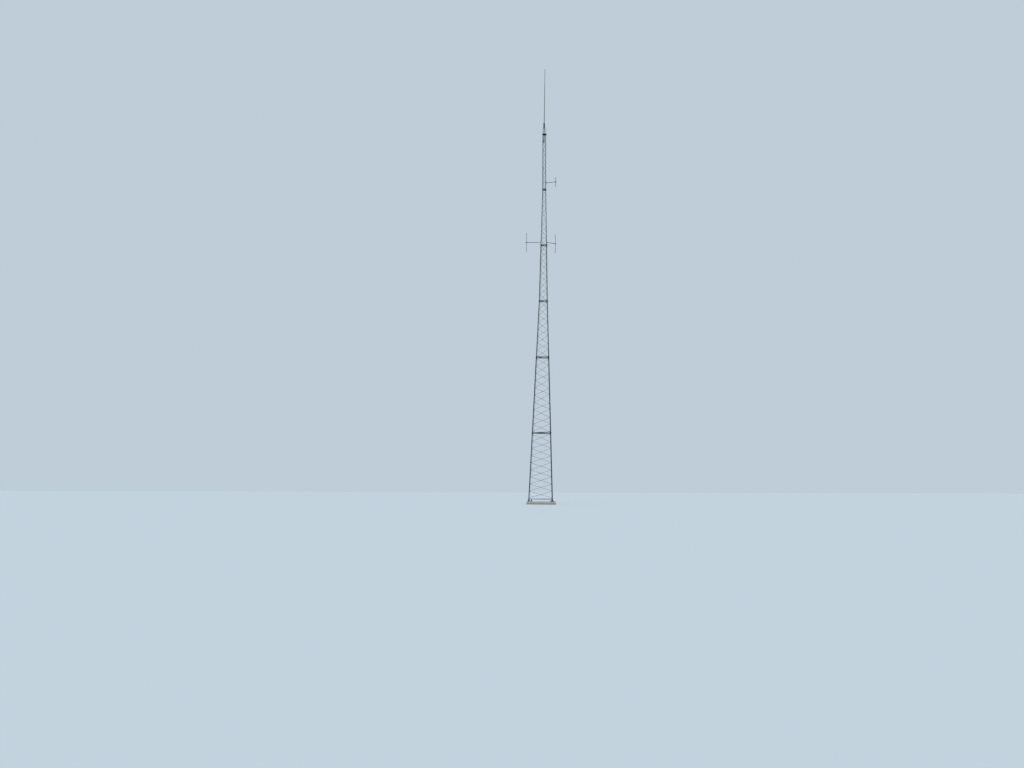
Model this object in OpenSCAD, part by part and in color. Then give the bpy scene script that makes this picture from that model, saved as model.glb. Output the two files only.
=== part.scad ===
// Three-sided lattice radio mast at half its real size. Six bolted sections taper upwards
// from feet on a concrete plinth. A clamped pole and a whip aerial stand at the head, and
// three loop aerials stand out on arms, each with a feeder cable down the left leg.

/* [Tower] */
// Length of the lowest lattice section
foot_len = 3500; // [3200:100:3900]
// Length of the second section
second_len = 4000; // [3600:100:4400]
// Length of each of the four sections above
section_len = 3000; // [2600:100:3400]
// Distance between leg centres at the feet
face_foot = 1420; // [1250:10:1600]
// Distance between leg centres where the taper eases, three sections up
face_waist = 485; // [440:5:540]
// Distance between leg centres at the foot of the top section
face_neck = 190; // [184:2:220]
// Distance between leg centres at the head
face_top = 172; // [168:2:184]

/* [Legs] */
// Leg diameter in the two lowest sections
leg_d_low = 52; // [46:1:54]
// Leg diameter in the next two sections
leg_d_mid = 46; // [40:1:48]
// Leg diameter in the two highest sections
leg_d_high = 34; // [30:1:36]
// Thickness of a leg flange
flange_t = 8; // [6:0.5:10]
// How far a flange reaches out past its leg
flange_lip = 20; // [18:1:22]
// Diameter of a flange bolt hole
flange_hole_d = 9; // [7:0.5:10]

/* [Lacing] */
// Thickness of the lacing bars in the four lowest sections
bar_d_low = 12; // [9:0.5:14]
// Thickness of the lacing bars in the two highest sections
bar_d_high = 10; // [8:0.5:11]
// Height of the flat ring bars that tie the legs beside each joint
ring_h = 26; // [18:1:28]
// Thickness of the flat ring bars
ring_t = 6; // [4:0.5:8]
// Distance from a joint to the middle of its ring bars
ring_up = 27; // [25:1:30]
// Distance from a joint to the nearest bends of the lacing in the two lowest sections
lace_up_low = 75; // [60:1:90]
// The same distance in the four sections above
lace_up_high = 34; // [32:1:45]

/* [Feet] */
// Height of the concrete plinth above the ground
plinth_h = 150; // [130:10:250]
// Concrete left round the foot plates
plinth_margin = 50; // [30:5:90]
// Width of a square foot plate
plate_w = 160; // [150:5:190]
// Thickness of a foot plate
plate_t = 14; // [10:1:20]
// Height from the plinth to the lowest leg flanges
foot_h = 100; // [85:5:130]
// Thickness of the ribs on a foot plate
rib_t = 8; // [5:1:12]
// Circle that the four anchor holes of a foot plate lie on
anchor_pcd = 164; // [156:2:176]
// Diameter of an anchor hole
anchor_hole_d = 13; // [11:0.5:15]
// Depth of an anchor hole in the concrete
anchor_depth = 100; // [60:5:120]

/* [Head] */
// Thickness of the head plate
head_t = 12; // [8:1:16]
// Length of the rods that stand on the head plate
rod_len = 330; // [200:10:400]
// Diameter of those rods
rod_d = 16; // [12:1:20]
// Diameter of the whip's pole
pole_d = 38; // [32:1:40]
// Length of the pole below the head
pole_drop = 457; // [440:1:475]
// Length of the pole above the head
pole_rise = 400; // [380:10:500]
// Distance from the left leg to the pole
pole_off = 55; // [53:1:58]
// Lean of the pole to the right, in degrees
pole_lean = 0.8; // [0:0.1:1.2]
// Height of a pole clamp
clamp_h = 26; // [18:1:34]
// Wall of a pole clamp
clamp_wall = 8; // [5:0.5:10]
// Height of the upper clamp above the head plate, clear of the bolts
clamp_up = 14; // [12:1:30]

/* [Whip aerial] */
// Length of the whip above its base
whip_len = 2960; // [2400:10:3200]
// Diameter of the whip at its foot
whip_d = 37; // [30:0.5:38]
// Diameter of the whip at its tip
whip_tip_d = 22; // [18:0.5:28]
// Length of the whip's base, over the pole's end
base_len = 290; // [240:5:320]
// Wall of the base round the pole
base_wall = 22; // [16:1:24]
// Wall of the base's neck round the whip
neck_wall = 11; // [8:1:14]
// Diameter of the base's collars
collar_d = 96; // [92:1:104]

/* [Loop aerials] */
// Diameter of the arms
arm_d = 21; // [16:1:26]
// Reach of the left arm, from the leg to the aerial
left_reach = 775; // [600:5:900]
// Reach of the right arm
right_reach = 645; // [500:5:800]
// Reach of the top arm
top_reach = 538; // [400:5:700]
// Direction of the right arm, in degrees from the right towards the back
right_turn = 42; // [35:1:50]
// Direction of the top arm
top_turn = -14; // [-30:1:0]
// How far the right arm is held below the left one
right_drop = 25; // [0:1:40]
// How far the top arm is held below the middle of its bay
top_drop = 45; // [0:1:50]
// Height of the two large loops
large_loop_h = 1020; // [900:10:1150]
// Height of the small loop
small_loop_h = 505; // [400:5:650]
// Distance between the two rods of a loop
loop_w = 36; // [30:1:44]
// Thickness of the rod of the two large loops
loop_d = 11; // [8:0.5:12]
// Thickness of the rod of the small loop
small_loop_d = 13; // [9:0.5:14]
// Length of the box at a loop's middle, along the arm
box_len = 62; // [58:1:70]
// Width of that box
box_w = 34; // [26:1:40]
// Height of that box
box_h = 42; // [34:1:60]
// Height of an arm's bracket
bracket_h = 100; // [80:5:110]

/* [Feeders] */
// Diameter of a feeder cable
feeder_d = 7; // [5:0.5:8]
// Distance between feeders beside each other
feeder_pitch = 9; // [8.5:0.5:10]
// Cleats on each section
cleats = 3; // [2:1:4]
// Height of a cleat
cleat_h = 14; // [10:1:20]
// Outer diameter of the duct that the feeders end in
duct_d = 62; // [56:1:76]
// Wall of the duct
duct_wall = 4; // [2:0.5:6]
// Height of the duct above the plinth
duct_h = 90; // [60:5:120]

/* [Hidden] */

$fn = 48;
// Clearance where one piece seats on another
seat = 0.3;

// Bars between the rings on one side of each section, from the lowest section up
BARS = [9, 10, 8, 9, 12, 12];
sections = len(BARS);
waist_level = 3;
neck_level = 5;

// Directions of the left, near and far legs, and of the sides between them
LEFT = 180;
NEAR = -60;
FAR = 60;
LEG_TURNS = [LEFT, NEAR, FAR];
FRONT = -120;
RIGHT = 0;
BACK = 120;

steel = [0.44, 0.47, 0.49];
aluminium = [0.62, 0.64, 0.66];
concrete = [0.66, 0.65, 0.61];
fibreglass = [0.36, 0.38, 0.40];
jacket = [0.07, 0.07, 0.08];

// Heights are measured from the lowest leg flanges, which lie this far above the ground
base_z = plinth_h + foot_h;

function level_z(k) = k == 0 ? 0 : k == 1 ? foot_len : foot_len + second_len + (k - 2) * section_len;

function face_at(z) = lookup(z, [
    [0, face_foot],
    [level_z(waist_level), face_waist],
    [level_z(neck_level), face_neck],
    [level_z(sections), face_top]
]);

// Distance of the legs, and of the sides, from the middle of the tower
function leg_out(z) = face_at(z) / sqrt(3);
function side_out(z) = face_at(z) / (2 * sqrt(3));

function leg_d(i) = i <= 2 ? leg_d_low : i <= 4 ? leg_d_mid : leg_d_high;
function bar_d(i) = i <= 4 ? bar_d_low : bar_d_high;
function lace_up(i) = i <= 2 ? lace_up_low : lace_up_high;

// The two flanges of a joint match, on the thicker of the two legs
function joint_leg_d(k) = leg_d(max(k, 1));
function flange_d(k) = joint_leg_d(k) + 2 * flange_lip;
// Distance of the flange bolts from the middle of the leg
function bolt_out(k) = (joint_leg_d(k) + flange_lip) / 2;

// Length of a side along its slope, and the height of a point that far up it
function side_len(i) = norm([
    side_out(level_z(i - 1)) - side_out(level_z(i)),
    level_z(i) - level_z(i - 1)
]);
function bar_rise(i) = (side_len(i) - 2 * lace_up(i)) / BARS[i - 1];
function slope_z(i, v) = level_z(i - 1) + v * (level_z(i) - level_z(i - 1)) / side_len(i);
// Middle of the free height between two bends, where nothing else touches a leg
function bay_z(i, n) = slope_z(i, lace_up(i) + (n + 0.5) * bar_rise(i));

head_z = base_z + level_z(sections);

// A point on a leg's centre line. A leg is made towards +X, and turned to its place.
function leg_point(turn, z) = [leg_out(z) * cos(turn), leg_out(z) * sin(turn), base_z + z];

module turned(turn) {
    rotate([0, 0, turn])
        children();
}

module along(p, q) {
    step = q - p;
    translate(p)
        rotate([0, acos(step[2] / norm(step)), atan2(step[1], step[0])])
            children();
}

// A length of leg in section i, on its true slope, grown by extra for a clearance cut
module leg_run(i, low_z, high_z, extra = 0) {
    p = leg_point(0, level_z(i - 1));
    q = leg_point(0, level_z(i));
    rise = level_z(i) - level_z(i - 1);
    low = p + (q - p) * (low_z - level_z(i - 1)) / rise;
    high = p + (q - p) * (high_z - level_z(i - 1)) / rise;
    along(low, high)
        cylinder(d = leg_d(i) + 2 * extra, h = norm(high - low));
}

module slab(low_z, high_z) {
    reach = 2 * face_foot;
    translate([-reach / 2, -reach / 2, base_z + low_z])
        cube([reach, reach, high_z - low_z]);
}

// Cuts the four bolt holes of a leg's joint
module bolt_holes(k, z, h) {
    for (hole = [0 : 90 : 270])
        translate([leg_out(level_z(k)), 0, z - 1])
            rotate([0, 0, hole])
                translate([bolt_out(k), 0, 0])
                    cylinder(d = flange_hole_d, h = h + 2);
}

module flange(k, z) {
    difference() {
        translate([leg_out(level_z(k)), 0, base_z + z])
            cylinder(d = flange_d(k), h = flange_t);
        bolt_holes(k, base_z + z, flange_t);
    }
}

// The three legs of section i, each a tube between two flanges that stay level
module legs(i) {
    low = level_z(i - 1);
    high = level_z(i);
    color(steel)
        for (turn = LEG_TURNS)
            turned(turn) {
                intersection() {
                    leg_run(i, low - leg_d(i), high + leg_d(i));
                    slab(low + flange_t / 2, high - flange_t / 2);
                }
                flange(i - 1, low);
                flange(i, high - flange_t);
            }
}

// A bar of eight sides between two points of a side, each [across, up]
module bar(p, q, d) {
    run = q - p;
    translate([0, p[0], p[1]])
        rotate([-atan2(run[0], run[1]), 0, 0])
            rotate([0, 0, 180 / 8])
                cylinder(d = d, h = norm(run), $fn = 8);
}

// One flat side of section i: two ring bars, and one bar bent to and fro between the legs,
// welded to them at each bend, whose ends run along the legs to the rings
module side(i, turn) {
    low = level_z(i - 1);
    slope = side_len(i);
    out_low = side_out(low);
    out_high = side_out(level_z(i));
    lean = atan((out_low - out_high) / (level_z(i) - low));
    wide_low = face_at(low);
    wide_high = face_at(level_z(i));
    d = bar_d(i);
    bend_d = 1.2 * d;
    bend_half = 1.25 * d;
    bar_end = 0.6 * d;
    count = BARS[i - 1];
    rise = bar_rise(i);

    function half_at(v) = (wide_low + (wide_high - wide_low) * v / slope) / 2;
    function bend_at(s, v) = [s * (half_at(v) - leg_d(i) / 2 - seat - bend_d / 2), v];
    function hand(k) = k % 2 == 0 ? -1 : 1;

    color(steel)
        rotate([0, 0, turn])
            translate([out_low, 0, base_z + low])
                rotate([0, -lean, 0]) {
                    for (v = [ring_up, slope - ring_up]) {
                        reach = half_at(v + ring_h / 2) - leg_d(i) / 2 - seat;
                        translate([-ring_t / 2, -reach, v - ring_h / 2])
                            cube([ring_t, 2 * reach, ring_h]);
                    }
                    for (k = [0 : count - 1]) {
                        v = lace_up(i) + k * rise;
                        bar(bend_at(hand(k), v + bar_end), bend_at(hand(k + 1), v + rise - bar_end), d);
                    }
                    for (k = [0 : count]) {
                        v = lace_up(i) + k * rise;
                        from_v = k == 0 ? ring_up : v - bend_half;
                        to_v = k == count ? slope - ring_up : v + bend_half;
                        bar(bend_at(hand(k), from_v), bend_at(hand(k), to_v), bend_d);
                    }
                }
}

module plinth() {
    out = leg_out(0) + plate_w / 2 + plinth_margin;
    half = plate_w / 2 + plinth_margin;
    color(concrete)
        difference() {
            linear_extrude(plinth_h)
                polygon([
                    for (turn = LEG_TURNS, s = [-1, 1])
                        [out * cos(turn) - s * half * sin(turn), out * sin(turn) + s * half * cos(turn)]
                ]);
            for (turn = LEG_TURNS)
                anchor_holes(turn, plinth_h - anchor_depth, anchor_depth + 1);
        }
}

module anchor_holes(turn, z, h) {
    rotate([0, 0, turn])
        translate([leg_out(0), 0, z])
            for (hole = [45 : 90 : 315])
                rotate([0, 0, hole])
                    translate([anchor_pcd / 2, 0, 0])
                        cylinder(d = anchor_hole_d, h = h);
}

// A square plate on the concrete, with a ribbed stub that carries the lowest leg flange
module foot_plate() {
    stub_d = leg_d(1);
    rib_out = plate_w / 2 - 4;
    rib_h = foot_h - plate_t - 3 * flange_t;
    translate([-plate_w / 2, -plate_w / 2, 0])
        cube([plate_w, plate_w, plate_t]);
    cylinder(d = stub_d, h = foot_h - flange_t / 2);
    for (rib = [0 : 90 : 270])
        rotate([90, 0, rib])
            translate([0, 0, -rib_t / 2])
                linear_extrude(rib_t)
                    polygon([
                        [0, plate_t - 1],
                        [rib_out, plate_t - 1],
                        [rib_out, plate_t + 8],
                        [stub_d / 2 + 6, plate_t + rib_h],
                        [0, plate_t + rib_h]
                    ]);
}

module foot_plates() {
    color(steel)
        difference() {
            for (turn = LEG_TURNS)
                turned(turn) {
                    translate([leg_out(0), 0, plinth_h])
                        foot_plate();
                    flange(0, -flange_t);
                }
            for (turn = LEG_TURNS)
                anchor_holes(turn, plinth_h - 1, plate_t + 2);
        }
}

// The pole is clamped beside the left leg and leans a little to the right with the whip
pole_foot = [pole_off - leg_out(level_z(sections) - pole_drop), 0, head_z - pole_drop];
pole_way = [sin(pole_lean), 0, cos(pole_lean)];
pole_side = [cos(pole_lean), 0, -sin(pole_lean)];
pole_len = (pole_drop + pole_rise) / cos(pole_lean);

module on_pole(s) {
    translate(pole_foot + s * pole_way)
        rotate([0, pole_lean, 0])
            children();
}

module pole_run(extra) {
    on_pole(-1)
        cylinder(d = pole_d + 2 * extra, h = pole_len + 2);
}

// The plate bolted on the top flanges, with its three upright rods
module head_plate() {
    out = leg_out(level_z(sections));
    pad = flange_d(sections) / 2;
    pole_hole_d = pole_d + 4;
    feeder_hole_d = feeder_d + 8;
    color(steel)
        difference() {
            union() {
                translate([0, 0, head_z])
                    linear_extrude(head_t)
                        polygon([
                            for (turn = LEG_TURNS, s = [-1, 1])
                                [
                                    (out + pad) * cos(turn) - s * pad * sin(turn),
                                    (out + pad) * sin(turn) + s * pad * cos(turn)
                                ]
                        ]);
                for (turn = LEG_TURNS)
                    translate([out * cos(turn), out * sin(turn), head_z])
                        cylinder(d = rod_d, h = head_t + rod_len);
            }
            for (turn = LEG_TURNS)
                turned(turn)
                    bolt_holes(sections, head_z, head_t);
            on_pole(pole_drop - 5)
                cylinder(d = pole_hole_d, h = head_t + 10);
            translate([whip_feeder_point(pole_drop)[0], 0, head_z - 1])
                cylinder(d = feeder_hole_d, h = head_t + 2);
        }
}

module pole() {
    color(steel)
        on_pole(0)
            cylinder(d = pole_d, h = pole_len);
}

// A block that grips an upright of diameter d at the left, and the pole
module clamp_block(d, z) {
    left = -leg_out(level_z(sections)) - d / 2 - clamp_wall;
    right = pole_foot[0] + pole_lean_x(z) + pole_d / 2 + clamp_wall;
    width = pole_d + 2 * clamp_wall;
    translate([left, -width / 2, z])
        cube([right - left, width, clamp_h]);
}

function pole_lean_x(z) = (z - pole_foot[2]) * tan(pole_lean);

module pole_clamps() {
    low_z = base_z + bay_z(sections, BARS[sections - 1] - 2) - clamp_h / 2;
    high_z = head_z + head_t + clamp_up;
    color(steel) {
        difference() {
            clamp_block(leg_d(sections), low_z);
            turned(LEFT)
                leg_run(sections, level_z(sections) - pole_drop, level_z(sections) - flange_t, seat);
            pole_run(seat);
        }
        difference() {
            clamp_block(rod_d, high_z);
            translate([-leg_out(level_z(sections)), 0, head_z])
                cylinder(d = rod_d + 2 * seat, h = head_t + rod_len);
            pole_run(seat);
        }
    }
}

// The base slips over the pole's end and holds the whip's foot: a sleeve with two collars
// below, and a cone above
base_over = 60;
whip_in = 50;
base_s = pole_len - base_over;

module whip_base() {
    sleeve_d = pole_d + 2 * base_wall;
    neck_d = whip_d + 2 * neck_wall;
    collar_h = 26;
    color(steel)
        on_pole(base_s)
            difference() {
                union() {
                    cylinder(d = sleeve_d, h = base_len - 60);
                    for (z = [0, base_over + 10])
                        translate([0, 0, z])
                            cylinder(d = collar_d, h = collar_h);
                    translate([0, 0, base_len - 60.5])
                        cylinder(d1 = sleeve_d, d2 = neck_d, h = 60.5);
                }
                translate([0, 0, -1])
                    cylinder(d = pole_d + 2 * seat, h = base_over + 1);
                translate([0, 0, base_len - whip_in])
                    cylinder(d = whip_d + 2 * seat, h = whip_in + 1);
            }
}

module whip() {
    foot_s = base_s + base_len - whip_in;
    tip = whip_tip_d / 2;
    color(fibreglass)
        on_pole(foot_s)
            rotate_extrude()
                union() {
                    polygon([
                        [0, 0],
                        [whip_d / 2, 0],
                        [whip_d / 2, whip_in],
                        [tip, whip_in + whip_len - tip],
                        [0, whip_in + whip_len - tip]
                    ]);
                    translate([0, whip_in + whip_len - tip])
                        intersection() {
                            circle(r = tip);
                            translate([0, -1])
                                square([tip, tip + 1]);
                        }
                }
}

// Where the arms are held: section, bay and leg
PAIR_SECTION = 5;
TOP_SECTION = 6;
pair_z = bay_z(PAIR_SECTION, 0);
top_z = bay_z(TOP_SECTION, 1) - top_drop;

// An arm welded to a plate, with two half rings that fit round the leg
module arm(i, leg_turn, z, turn, reach) {
    r = leg_d(i) / 2;
    plate_x = r + 6;
    plate_out = r + 13;
    plate_half = r + 10;
    ring_half = r + 7;
    ring_block_h = 20;
    color(aluminium)
        turned(leg_turn)
            difference() {
                translate(leg_point(0, z))
                    turned(turn - leg_turn) {
                        translate([plate_x, -plate_half, -bracket_h / 2])
                            cube([plate_out - plate_x, 2 * plate_half, bracket_h]);
                        for (low = [-bracket_h / 2, bracket_h / 2 - ring_block_h])
                            translate([2, -ring_half, low])
                                cube([plate_out - 4, 2 * ring_half, ring_block_h]);
                        rotate([0, 90, 0])
                            translate([0, 0, plate_out - 1])
                                cylinder(d = arm_d, h = reach - box_len / 2 - seat - plate_out + 1);
                    }
                leg_run(i, z - bracket_h, z + bracket_h, seat);
            }
}

// A folded loop of rod with its box, on the end of an arm
module loop_aerial(leg_turn, z, turn, reach, h, d) {
    straight = h - loop_w - d;
    color(aluminium)
        translate(leg_point(leg_turn, z))
            rotate([0, 0, turn])
                translate([reach, 0, 0]) {
                    translate([-box_len / 2, -box_w / 2, -box_h / 2])
                        cube([box_len, box_w, box_h]);
                    for (s = [-1, 1]) {
                        translate([s * loop_w / 2, 0, -straight / 2])
                            cylinder(d = d, h = straight);
                        translate([0, 0, s * straight / 2])
                            rotate([s * 90, 0, 0])
                                rotate_extrude(angle = 180)
                                    translate([loop_w / 2, 0])
                                        circle(d = d);
                    }
                }
}

module top_arm() {
    arm(TOP_SECTION, NEAR, top_z, top_turn, top_reach);
}
module top_loop() {
    loop_aerial(NEAR, top_z, top_turn, top_reach, small_loop_h, small_loop_d);
}
module left_arm() {
    arm(PAIR_SECTION, LEFT, pair_z, LEFT, left_reach);
}
module left_loop() {
    loop_aerial(LEFT, pair_z, LEFT, left_reach, large_loop_h, loop_d);
}
module right_arm() {
    arm(PAIR_SECTION, NEAR, pair_z - right_drop, right_turn, right_reach);
}
module right_loop() {
    loop_aerial(NEAR, pair_z - right_drop, right_turn, right_reach, large_loop_h, loop_d);
}

// Feeders run down inside the left leg in four lanes, clear of its flanges
lane_off = flange_d(1) / 2 + 4 + feeder_d / 2;
function lane_y(n) = (n - 1.5) * feeder_pitch;
function lane_point(n, z) = [lane_off - leg_out(z), lane_y(n), base_z + z];

// The whip's feeder comes down on the right of the pole, past its clamps
whip_feeder_off = pole_d / 2 + clamp_wall + 2 + feeder_d / 2;
function whip_feeder_point(s) = pole_foot + s * pole_way + whip_feeder_off * pole_side;

function unit(v) = v / norm(v);
function bend_step(a, p, b, t) = (1 - t) * (1 - t) * a + 2 * t * (1 - t) * p + t * t * b;

// A route through points, with each corner rounded over length r
function route(points, r) = let (last = len(points) - 1) [
    points[0],
    for (i = [1 : last - 1])
        let (
            p = points[i],
            reach = min(r, norm(points[i - 1] - p) / 2.1, norm(points[i + 1] - p) / 2.1),
            a = p + reach * unit(points[i - 1] - p),
            b = p + reach * unit(points[i + 1] - p)
        )
        for (t = [0 : 0.25 : 1]) bend_step(a, p, b, t),
    points[last]
];

module cable(path, d, sides = 8) {
    last = len(path) - 1;
    side_ref = [0.17, 0.79, 0.59];
    function way(i) = unit(path[min(i + 1, last)] - path[max(i - 1, 0)]);
    function across(i) = unit(cross(way(i), side_ref));
    function above(i) = cross(way(i), across(i));
    rings = [
        for (i = [0 : last], k = [0 : sides - 1])
            path[i] + d / 2 * (cos(k * 360 / sides) * across(i) + sin(k * 360 / sides) * above(i))
    ];
    walls = [
        for (i = [0 : last - 1], k = [0 : sides - 1])
            let (a = i * sides + k, b = i * sides + (k + 1) % sides)
            each [[a, b, b + sides], [a, b + sides, a + sides]]
    ];
    ends = [
        [for (k = [sides - 1 : -1 : 0]) k],
        [for (k = [0 : sides - 1]) last * sides + k]
    ];
    polyhedron(points = rings, faces = concat(walls, ends));
}

duct_out = leg_out(0) - plate_w / 2 - 30 - duct_d / 2;
// Where the feeders leave the leg, above the lowest flanges
lane_foot = 420;
// Each feeder ends in the duct, on the concrete
function duct_points(n) = [
    lane_point(n, lane_foot),
    [-duct_out, lane_y(n), base_z + 60],
    [-duct_out, lane_y(n), plinth_h + seat]
];

// Points down the lane from a height, turning where the leg changes its slope
function lane_points(n, z) = concat(
    [lane_point(n, z)],
    [for (k = [neck_level, waist_level]) if (level_z(k) < z) lane_point(n, level_z(k))],
    duct_points(n)
);

// Under an arm, from the box to the leg
under = arm_d / 2 + seat + feeder_d / 2;
function arm_point(leg_turn, z, turn, out, aside, drop) =
    leg_point(leg_turn, z) + [
        out * cos(turn) - aside * sin(turn),
        out * sin(turn) + aside * cos(turn),
        -drop
    ];

// Where the feeders of the arms come in between the bars, half way between two bends
top_in_z = bay_z(TOP_SECTION, 0);
pair_in_z = bay_z(PAIR_SECTION - 1, BARS[PAIR_SECTION - 2] - 1);

// From a loop's box along under its arm, round the outside of the leg, and in to a lane
function arm_feeder(n, leg_turn, z, turn, reach, in_z, outside, inside, fall) = concat(
    [
        arm_point(leg_turn, z, turn, reach - box_len / 2 - seat, 0, under),
        arm_point(leg_turn, z, turn, 105, 0, under),
        leg_point(leg_turn, in_z) + outside,
        leg_point(leg_turn, in_z) + inside
    ],
    lane_points(n, in_z - fall)
);

module feeders() {
    whip_z = level_z(sections) - pole_drop;
    color(jacket) {
        cable(route(concat(
            [whip_feeder_point(base_s - seat), whip_feeder_point(-20)],
            lane_points(0, whip_z - 160)
        ), 60), feeder_d);
        cable(route(arm_feeder(1, NEAR, top_z, top_turn, top_reach,
            top_in_z, [48, 12, 40], [0, 34, 0], 60), 45), feeder_d);
        cable(route(arm_feeder(2, NEAR, pair_z - right_drop, right_turn, right_reach,
            pair_in_z, [60, 60, 100], [0, 54, 0], 110), 60), feeder_d);
        cable(route(arm_feeder(3, LEFT, pair_z, LEFT, left_reach,
            pair_in_z, [-58, 24, 120], [0, 42, 20], 110), 60), feeder_d);
    }
}

// Blocks that hold the feeders off the leg
module cleat(i, z) {
    p = leg_point(LEFT, z);
    width = 4 * feeder_pitch + 4;
    color(jacket)
        difference() {
            translate([p[0] + 4, -width / 2, p[2] - cleat_h / 2])
                cube([lane_off + feeder_d / 2 + 3 - 4, width, cleat_h]);
            turned(LEFT)
                leg_run(i, z - 60, z + 60, seat);
            for (n = [0 : 3])
                along(lane_point(n, z - 60), lane_point(n, z + 60))
                    cylinder(d = feeder_d + 2 * seat, h = 121);
        }
}

module feeder_cleats() {
    for (i = [1 : sections], n = [0 : cleats - 1])
        cleat(i, bay_z(i, 1 + round(n * (BARS[i - 1] - 2) / cleats)));
}

module cable_duct() {
    color(steel)
        translate([-duct_out, 0, plinth_h])
            difference() {
                cylinder(d = duct_d, h = duct_h);
                translate([0, 0, -1])
                    cylinder(d = duct_d - 2 * duct_wall, h = duct_h + 2);
            }
}

plinth();
foot_plates();
for (i = [1 : sections]) {
    legs(i);
    side(i, FRONT);
    side(i, RIGHT);
    side(i, BACK);
}
head_plate();
pole();
pole_clamps();
whip_base();
whip();
top_arm();
top_loop();
left_arm();
left_loop();
right_arm();
right_loop();
feeders();
feeder_cleats();
cable_duct();
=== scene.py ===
import math

import bmesh
import bpy
from mathutils import Matrix, Vector


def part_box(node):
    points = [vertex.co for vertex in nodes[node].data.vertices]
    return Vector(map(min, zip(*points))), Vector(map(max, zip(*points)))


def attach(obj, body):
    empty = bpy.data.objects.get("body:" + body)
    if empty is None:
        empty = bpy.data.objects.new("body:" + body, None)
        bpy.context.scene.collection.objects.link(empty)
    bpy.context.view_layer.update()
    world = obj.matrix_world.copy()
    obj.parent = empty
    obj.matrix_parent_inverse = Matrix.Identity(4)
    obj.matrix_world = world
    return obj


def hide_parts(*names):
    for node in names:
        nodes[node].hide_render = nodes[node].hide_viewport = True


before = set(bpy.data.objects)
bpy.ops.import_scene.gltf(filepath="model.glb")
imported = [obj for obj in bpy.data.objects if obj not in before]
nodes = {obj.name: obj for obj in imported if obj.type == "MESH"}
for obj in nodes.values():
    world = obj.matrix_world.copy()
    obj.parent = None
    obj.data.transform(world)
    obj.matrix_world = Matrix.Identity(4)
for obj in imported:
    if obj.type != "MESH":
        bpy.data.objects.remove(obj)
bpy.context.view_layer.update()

# The camera looks up at the mast from eye height, 120 m off at full size. Its picture is the upper
# part of a slightly taller one, so the middle of the lens lies below the middle of the picture.
PICTURE = (1024, 768)
EYE_HEIGHT = 0.825
EYE_DISTANCE = 60.0
FOCAL_PIXELS = 1140.3
PITCH = math.radians(3.66)
ROLL = math.radians(-0.15)
LENS_BELOW_MIDDLE = 31.6
MAST_PIXEL_X = 544.4
SENSOR = 36.0
FAR_CLIP = 600.0

camera_data = bpy.data.cameras.new("camera")
camera_data.sensor_width = SENSOR
camera_data.lens = FOCAL_PIXELS * SENSOR / PICTURE[0]
camera_data.shift_y = LENS_BELOW_MIDDLE / PICTURE[0]
camera_data.clip_end = FAR_CLIP
camera = bpy.data.objects.new("camera", camera_data)
bpy.context.scene.collection.objects.link(camera)
aim = math.atan((MAST_PIXEL_X - PICTURE[0] / 2) / FOCAL_PIXELS)
camera.location = (0.0, -EYE_DISTANCE, EYE_HEIGHT)
camera.rotation_euler = (math.radians(90) + PITCH, ROLL, aim)
bpy.context.scene.camera = camera
bpy.context.scene.view_settings.view_transform = "Standard"

# A pale floor and an even sky of one tone, with one broad lamp high on the left and a weaker one
# on the right, so that round bars keep a light side and a dark side.
FLOOR_SIZE = 400.0
FLOOR_ROUGHNESS = 0.9
FLOOR_SPECULAR = 0.2
PALE = (0.515, 0.61, 0.68, 1.0)
SKY_LIGHT = (0.80, 0.82, 0.84, 1.0)
SKY_STRENGTH = 0.75


def feed(tree, socket, value):
    """Links a socket to another one, or sets it to a value."""
    if isinstance(value, bpy.types.NodeSocket):
        tree.links.new(value, socket)
    else:
        socket.default_value = value


def step(tree, kind, feeds, **settings):
    """Adds a shader node, and feeds its sockets by name or number."""
    node = tree.nodes.new("ShaderNode" + kind)
    for setting, value in settings.items():
        setattr(node, setting, value)
    for socket, value in feeds.items():
        feed(tree, node.inputs[socket], value)
    return node


def calc(tree, operation, a, b):
    return step(tree, "Math", {0: a, 1: b}, operation=operation).outputs[0]


def surface(name):
    """A new material, its tree and its shader."""
    material = bpy.data.materials.new(name)
    material.use_nodes = True
    return material, material.node_tree, material.node_tree.nodes["Principled BSDF"]


def pale_floor():
    mesh = bpy.data.meshes.new("floor")
    bm = bmesh.new()
    bmesh.ops.create_grid(bm, x_segments=1, y_segments=1, size=FLOOR_SIZE / 2)
    bm.to_mesh(mesh)
    bm.free()
    floor = bpy.data.objects.new("floor", mesh)
    bpy.context.scene.collection.objects.link(floor)
    material, _, shader = surface("floor")
    shader.inputs["Base Color"].default_value = PALE
    shader.inputs["Roughness"].default_value = FLOOR_ROUGHNESS
    shader.inputs["Specular IOR Level"].default_value = FLOOR_SPECULAR
    mesh.materials.append(material)


def broad_lamp(name, strength, spread, height, turn):
    """A far lamp as wide as its spread, at a height above the horizon, all in degrees."""
    data = bpy.data.lights.new(name, "SUN")
    data.energy = strength
    data.angle = math.radians(spread)
    lamp = bpy.data.objects.new(name, data)
    lamp.rotation_euler = (math.radians(90 - height), 0.0, math.radians(turn))
    bpy.context.scene.collection.objects.link(lamp)


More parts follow.
